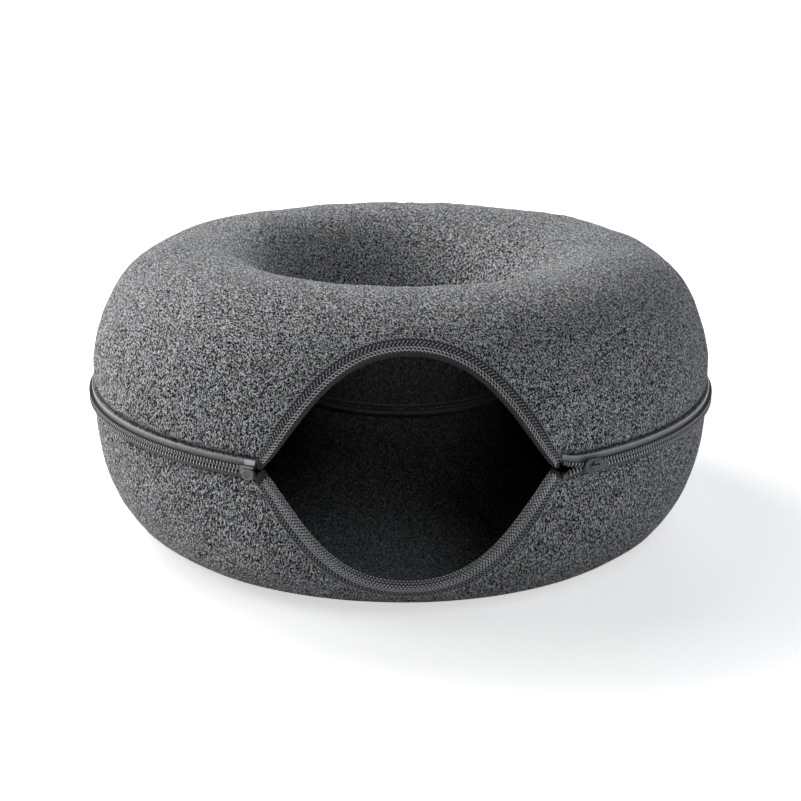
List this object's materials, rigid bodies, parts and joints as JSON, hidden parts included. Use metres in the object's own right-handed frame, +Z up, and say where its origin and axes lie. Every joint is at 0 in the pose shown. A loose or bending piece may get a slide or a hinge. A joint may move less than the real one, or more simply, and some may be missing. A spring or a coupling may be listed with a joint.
{
  "type": "donut cat tunnel",
  "caption": "Ring-shaped felt cat tunnel with an almond entrance and a centre hole, in two moulded halves that zip together round the outside and the hole.",
  "frame": {"origin": "on the floor, under the middle of the whole object", "axes": "+Z up, -Y out of the entrance, +X to the right seen from the front"},
  "size_m": [0.508, 0.4905, 0.227],
  "materials": {
    "felt": "heather grey needle-punched felt",
    "edging": "stitched felt edging",
    "zip_tape": "woven polyester tape",
    "zip_teeth": "moulded acetal teeth",
    "zip_metal": "satin lacquered zinc",
    "zip_plastic": "moulded acetal",
    "zip_film": "heat-pressed film"
  },
  "bodies": {
    "lower_half": {"lower_shell": "felt", "lower_arch_edging": "edging", "outer_zip_lower_tape": "zip_tape", "outer_zip_lower_teeth": "zip_teeth", "outer_zip_lower_stop": "zip_metal", "outer_zip_retaining_box": "zip_plastic", "inner_zip_lower_tape": "zip_tape", "inner_zip_lower_teeth": "zip_teeth", "inner_zip_lower_stop": "zip_metal", "inner_zip_retaining_box": "zip_plastic"},
    "upper_half": {"upper_shell": "felt", "upper_arch_edging": "edging", "outer_zip_upper_tape": "zip_tape", "outer_zip_upper_teeth": "zip_teeth", "outer_zip_upper_stop": "zip_metal", "outer_zip_insertion_pin": "zip_plastic", "outer_zip_end_film": "zip_film", "inner_zip_upper_tape": "zip_tape", "inner_zip_upper_teeth": "zip_teeth", "inner_zip_upper_stop": "zip_metal", "inner_zip_insertion_pin": "zip_plastic", "inner_zip_end_film": "zip_film"},
    "outer_slider": {"outer_zip_slider": "zip_metal"},
    "outer_pull": {"outer_zip_pull": "zip_metal"},
    "inner_slider": {"inner_zip_slider": "zip_metal"},
    "inner_pull": {"inner_zip_pull": "zip_metal"}
  },
  "joints": [
    {"name": "upper_half_lift", "type": "slide", "parent": "lower_half", "child": "upper_half", "axis": [0, 0, 1], "range_m": [0, 0.25]},
    {"name": "outer_slider_run", "type": "hinge", "parent": "lower_half", "child": "outer_slider", "pos_m": [0, -0.00851, 0.1135], "axis": [0, 0, 1], "range_deg": [0, 301]},
    {"name": "outer_pull_swing", "type": "hinge", "parent": "outer_slider", "child": "outer_pull", "pos_m": [0.13007, -0.23027, 0.1135], "axis": [0, 0, -1], "range_deg": [0, 165]},
    {"name": "inner_slider_run", "type": "hinge", "parent": "lower_half", "child": "inner_slider", "pos_m": [0, -0.00851, 0.1135], "axis": [0, 0, 1], "range_deg": [0, 333.5]},
    {"name": "inner_pull_swing", "type": "hinge", "parent": "inner_slider", "child": "inner_pull", "pos_m": [-0.0176, 0.0725, 0.1135], "axis": [0, 0, 1], "range_deg": [0, 165]}
  ]
}
